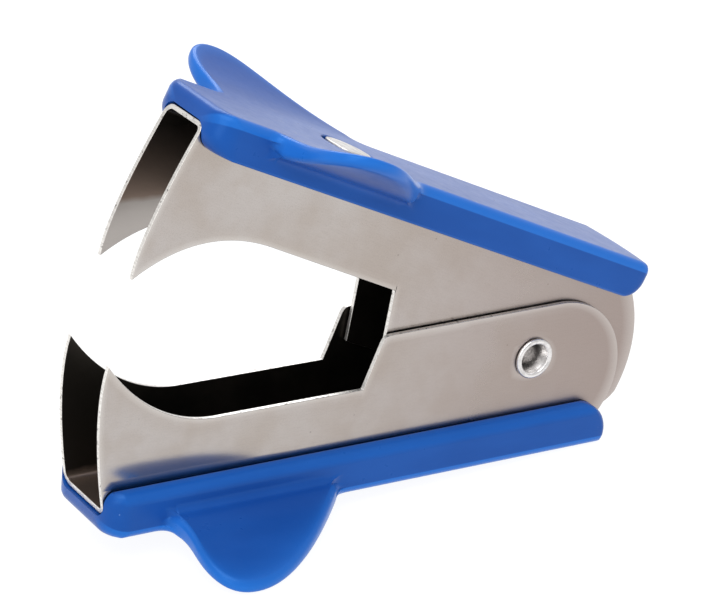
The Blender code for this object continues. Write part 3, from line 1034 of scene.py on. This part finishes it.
class REMOVER_OT_jaws(bpy.types.Operator):
    """Builds the two bent steel jaws with their fangs"""

    bl_idname = "remover.jaws"
    bl_label = "Jaws"

    def execute(self, context):
        chosen = context.scene.remover.jaws
        # Inner faces by depth: painted shade, with painted light near the lower web, and painted
        # light and a painted reflection of the steel near the upper free edge.
        dark, painted_light_tone = chosen.inside, chosen.inside_painted_light
        bright = [c * 0.85 for c in chosen.steel]
        stops = {
            "lower": [(0.8, painted_light_tone), (1.5, dark), (DEEPEST, dark)],
            "upper": [(0.0, dark), (2.5, dark), (9.8, painted_light_tone), (10.4, bright)],
        }
        for jaw, half in (("lower", chosen.lower_half), ("upper", chosen.upper_half)):
            name, tilt = jaw + "_jaw_sheet", TILT[jaw]
            # Depth of the painted inner shade added per mm to the rear, and how far the fangs'
            # sheet leans.
            slant, dip = (0.46, 0.0) if jaw == "upper" else (0.0, 0.0002)
            mesh = jaw_sheet(jaw, mm(half), mm(chosen.bend)).mesh(name, jaw, solid=False)
            mark_edges(mesh, EDGE_WEAR_AND_SHINE)
            finishes = [
                plated_steel(jaw + " jaw plating", tilt, chosen.steel, chosen.roughness, dip),
                inside_steel(jaw + " jaw inside", tilt, WEB[jaw], OUT[jaw], stops[jaw], slant),
                sheared_steel(jaw + " jaw edge", tilt, chosen.sheared),
            ]
            piece = finish_piece(name, mesh, finishes, jaw + "_body", jaw + "_jaw")
            wall = piece.modifiers.new("Sheet", "SOLIDIFY")
            wall.thickness = chosen.sheet
            wall.offset = -1
            wall.use_even_offset = True
            wall.use_quality_normals = True
            wall.material_offset = 1
            wall.material_offset_rim = 2
            edge = piece.modifiers.new("Edge", "BEVEL")
            edge.width = chosen.edge
            edge.segments = 2
            edge.limit_method = "ANGLE"
            edge.angle_limit = radians(50)
            edge.use_clamp_overlap = False
            edge.harden_normals = True
        return {"FINISHED"}


class REMOVER_OT_grips(bpy.types.Operator):
    """Builds the two moulded grips with their finger ears"""

    bl_idname = "remover.grips"
    bl_label = "Grips"

    def execute(self, context):
        chosen = context.scene.remover.grips
        jaws = context.scene.remover.jaws
        sizes = ("half", "edge", "ear_reach", "lower_rise", "upper_rise")
        sizes += ("ear_thick", "ear_root", "fillet")
        grip = {size: mm(getattr(chosen, size)) for size in sizes}
        for jaw, half in (("lower", jaws.lower_half), ("upper", jaws.upper_half)):
            name = jaw + "_grip_moulding"
            mesh = grip_mesh(name, jaw, mm(half), grip)
            mesh.set_sharp_from_angle(angle=radians(48))
            colours = (chosen.plastic, chosen.pale)
            made = moulded_plastic(jaw + " grip plastic", TILT[jaw], *colours, chosen.roughness)
            finish_piece(name, mesh, [made], jaw + "_body", jaw + "_grip")
        return {"FINISHED"}


class REMOVER_OT_pivot_rivet(bpy.types.Operator):
    """Builds the hollow rivet that both jaws turn on"""

    bl_idname = "remover.pivot_rivet"
    bl_label = "Pivot Rivet"

    def execute(self, context):
        chosen = context.scene.remover.rivets
        bore, lip = mm(chosen.bore), mm(chosen.lip)
        seat, roll = 4.1, 0.3
        crest = seat + 0.12
        middle = lip - roll - 0.03
        throat = (bore, seat - 1.5)
        end = chain(
            line((1.5, seat - 0.05), (lip - 0.1, seat), 3),
            arc((middle, crest), roll, -15, 165, 16) * [1, 0.9] + [0, crest * 0.1],
            bezier((middle - roll, crest), (bore + 0.3, seat - 0.2), (bore, 3.4), throat, 14),
        )
        profile = np.concatenate([end, (end * [1, -1])[::-1], end[:1]])
        skin = Skin()
        skin.add(lathe(profile, "y", (0.0, 0.0), 72))
        name = "pivot_rivet_tube"
        mesh = skin.mesh(name, "lower")
        mesh.set_sharp_from_angle(angle=radians(50))
        made = turned_steel("pivot rivet steel", TILT["lower"], chosen.steel, chosen.roughness)
        finish_piece(name, mesh, [made], "lower_body", "pivot_rivet")
        return {"FINISHED"}


class REMOVER_OT_grip_rivets(bpy.types.Operator):
    """Builds the flat-headed rivets that hold the grips on the webs"""

    bl_idname = "remover.grip_rivets"
    bl_label = "Grip Rivets"

    def execute(self, context):
        chosen = context.scene.remover.rivets
        head = mm(chosen.head)
        shank, foot_r, round_r, foot_round = 1.25, 2.0, 0.16, 0.15
        for jaw in ("lower", "upper"):
            back = BACK[jaw]
            under = back - RECESS_DEEP + 0.06
            face = back + HEAD_PROUD[jaw]
            inside = WEB[jaw] - SHEET - 0.1
            foot = inside - 0.5
            crown = np.linspace(0, 1, 7)[:, None]
            crown = np.concatenate([crown * (head - 0.5), face + 0.03 - 0.03 * crown**2], 1)
            profile = chain(
                crown,
                line(crown[-1], (head - round_r, face), 3),
                arc((head - round_r, face - round_r), round_r, 90, 0, 6),
                line((head, face - round_r), (head, under), 2),
                line((head, under), (shank, under), 3),
                line((shank, under), (shank, inside), 3),
                line((shank, inside), (foot_r, inside), 3),
                line((foot_r, inside), (foot_r, foot + foot_round), 2),
                arc((foot_r - foot_round, foot + foot_round), foot_round, 0, -90, 5),
                line((foot_r - foot_round, foot), (0.0, foot), 5),
            )
            skin = Skin()
            skin.add(lathe(profile, "z", (RIVET_X[jaw], 0.0), 72) * [1, 1, OUT[jaw]])
            name = jaw + "_grip_rivet_head"
            mesh = skin.mesh(name, jaw)
            mesh.set_sharp_from_angle(angle=radians(40))
            colour = [c * 0.92 for c in chosen.steel]
            roughness = chosen.roughness + 0.1
            made = turned_steel(jaw + " grip rivet steel", TILT[jaw], colour, roughness)
            finish_piece(name, mesh, [made], jaw + "_body", jaw + "_grip_rivet")
        return {"FINISHED"}


class REMOVER_OT_spring(bpy.types.Operator):
    """Winds the torsion spring about the pivot rivet, with a leg on each web"""

    bl_idname = "remover.spring"
    bl_label = "Spring"

    def execute(self, context):
        chosen = context.scene.remover.spring
        wire, coil, half = mm(chosen.wire), mm(chosen.coil), mm(chosen.width)
        low_reach, high_reach, sides = -13.0, -14.0, 15
        low_tip = (low_reach, SHEET - WEB["lower"] + wire + ROOM)
        slope = radians(TILT["upper"] - TILT["lower"])
        u, v = high_reach, WEB["upper"] - SHEET - wire - ROOM
        high_tip = (u * cos(slope) + v * sin(slope), v * cos(slope) - u * sin(slope))
        start = atan2(low_tip[1], low_tip[0]) + acos(coil / hypot(*low_tip)) - 2 * pi
        end = atan2(high_tip[1], high_tip[0]) - acos(coil / hypot(*high_tip)) + 6 * pi
        turn = np.linspace(0, 1, 220)
        a = start + (end - start) * turn
        helix = np.stack([coil * np.cos(a), half * (1 - 2 * turn), coil * np.sin(a)], 1)
        low = line((low_tip[0], half, low_tip[1]), helix[0], 24)
        high = line(helix[-1], (high_tip[0], -half, high_tip[1]), 26)
        path = chain(low, helix, high)
        ahead = np.gradient(path, axis=0)
        ahead /= np.linalg.norm(ahead, axis=1)[:, None]
        across = np.array([0.0, 1.0, 0.0]) - ahead * ahead[:, 1:2]
        across /= np.linalg.norm(across, axis=1)[:, None]
        up = np.cross(ahead, across)
        b = np.linspace(0, 2 * pi, sides)[:, None]
        tube = path[:, None] + wire * (across[:, None] * np.cos(b) + up[:, None] * np.sin(b))
        first, last = (np.repeat(path[[i]], sides, 0)[None] for i in (0, -1))
        skin = Skin()
        skin.add(np.concatenate([first, tube, last]))
        name = "torsion_spring_wire"
        mesh = skin.mesh(name, "lower")
        mesh.set_sharp_from_angle(angle=radians(50))
        made = turned_steel("spring steel", TILT["lower"], chosen.steel, 0.3)
        piece = finish_piece(name, mesh, [made], None, "torsion_spring")
        half / 1000
        -half / 1000
        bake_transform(piece)
        return {"FINISHED"}


class REMOVER_OT_stage(bpy.types.Operator):
    """Sets the pale floor, the soft light and the camera"""

    bl_idname = "remover.stage"
    bl_label = "Stage"

    def execute(self, context):
        chosen = context.scene.remover.stage
        scene = context.scene
        scene.view_settings.view_transform = "Standard"
        mesh = bpy.data.meshes.new("floor")
        side = np.linspace(-FLOOR_REACH, FLOOR_REACH, 7)
        x, y = np.meshgrid(side, side, indexing="ij")
        points = np.stack([x, y, np.zeros(x.shape)], -1).reshape(-1, 3)
        mesh.from_pydata(points.tolist(), [], grid_quads(*x.shape).tolist())
        floor = bpy.data.objects.new("floor", mesh)
        scene.collection.objects.link(floor)
        paper = Finish("floor paper")
        weave = paper.noise(paper.millimetres(), 0.6, 3.0, 0.6)
        tone = paper.range_of(weave, 0.3, 0.7)
        paper.surface(
            Base_Color=paper.tint(tone, rgba(chosen.floor), rgba(chosen.floor, 0.995)),
            Roughness=0.85 + (weave - 0.5) * 0.1,
            Emission_Color=(1.0, 1.0, 1.0, 1.0),
            Emission_Strength=chosen.glow,
        )
        mesh.materials.append(paper.material)
        world = bpy.data.worlds.new("surroundings")
        world.use_nodes = True
        sky = world.node_tree.nodes["Background"].inputs
        sky["Color"].default_value = (1, 1, 1, 1)
        sky["Strength"].default_value = chosen.sky
        scene.world = world
        aim = Vector((-0.002, 0.0, 0.018))
        lights = (
            ("key", (-0.25, -0.25, 0.75), 0.6, chosen.key),
            ("fill", (-0.7, -0.5, 0.35), 0.5, chosen.key * 0.4),
            ("back", (0.35, 0.6, 0.6), 0.5, chosen.key * 0.8),
        )
        for name, place, size, power in lights:
            data = bpy.data.lights.new(name, "AREA")
            data.shape = "SQUARE"
            data.size = size
            data.energy = power
            light = bpy.data.objects.new(name, data)
            light.location = place
            light.rotation_euler = (aim - Vector(place)).to_track_quat("-Z", "Y").to_euler()
            scene.collection.objects.link(light)
        data = bpy.data.cameras.new("camera")
        data.lens = chosen.lens
        data.sensor_width = 36.0
        data.clip_start, data.clip_end = 0.01, 20.0
        camera = bpy.data.objects.new("camera", data)
        camera.location = CAMERA_PLACE
        camera.rotation_euler = [radians(a) for a in CAMERA_TURN]
        scene.collection.objects.link(camera)
        scene.camera = camera
        return {"FINISHED"}


class REMOVER_PT_panel(bpy.types.Panel):
    """Lists the settings and the steps"""

    bl_idname = "REMOVER_PT_panel"
    bl_label = "Staple Remover"
    bl_space_type = "VIEW_3D"
    bl_region_type = "UI"
    bl_category = "Staple Remover"

    def draw(self, context):
        chosen = context.scene.remover
        for group, steps in PANEL_ROWS:
            box = self.layout.box()
            settings = getattr(chosen, group)
            for name in settings.__annotations__:
                box.prop(settings, name)
            for step in steps:
                box.operator(step)


PANEL_ROWS = (
    ("jaws", ("remover.jaws",)),
    ("grips", ("remover.grips",)),
    ("rivets", ("remover.pivot_rivet", "remover.grip_rivets")),
    ("spring", ("remover.spring",)),
    ("stage", ("remover.stage",)),
)

CLASSES = (
    JawSettings,
    GripSettings,
    RivetSettings,
    SpringSettings,
    StageSettings,
    RemoverSettings,
    REMOVER_OT_jaws,
    REMOVER_OT_grips,
    REMOVER_OT_pivot_rivet,
    REMOVER_OT_grip_rivets,
    REMOVER_OT_spring,
    REMOVER_OT_stage,
    REMOVER_PT_panel,
)


def register():
    """Adds the classes and the scene's settings."""
    for item in CLASSES:
        bpy.utils.register_class(item)
    bpy.types.Scene.remover = bpy.props.PointerProperty(type=RemoverSettings)


def unregister():
    """Removes them again."""
    del bpy.types.Scene.remover
    for item in reversed(CLASSES):
        bpy.utils.unregister_class(item)


def main():
    """Builds every piece and the stage."""
    register()
    for _, steps in PANEL_ROWS:
        for step in steps:
            group, name = step.split(".")
            getattr(getattr(bpy.ops, group), name)()


if __name__ == "__main__":
    main()
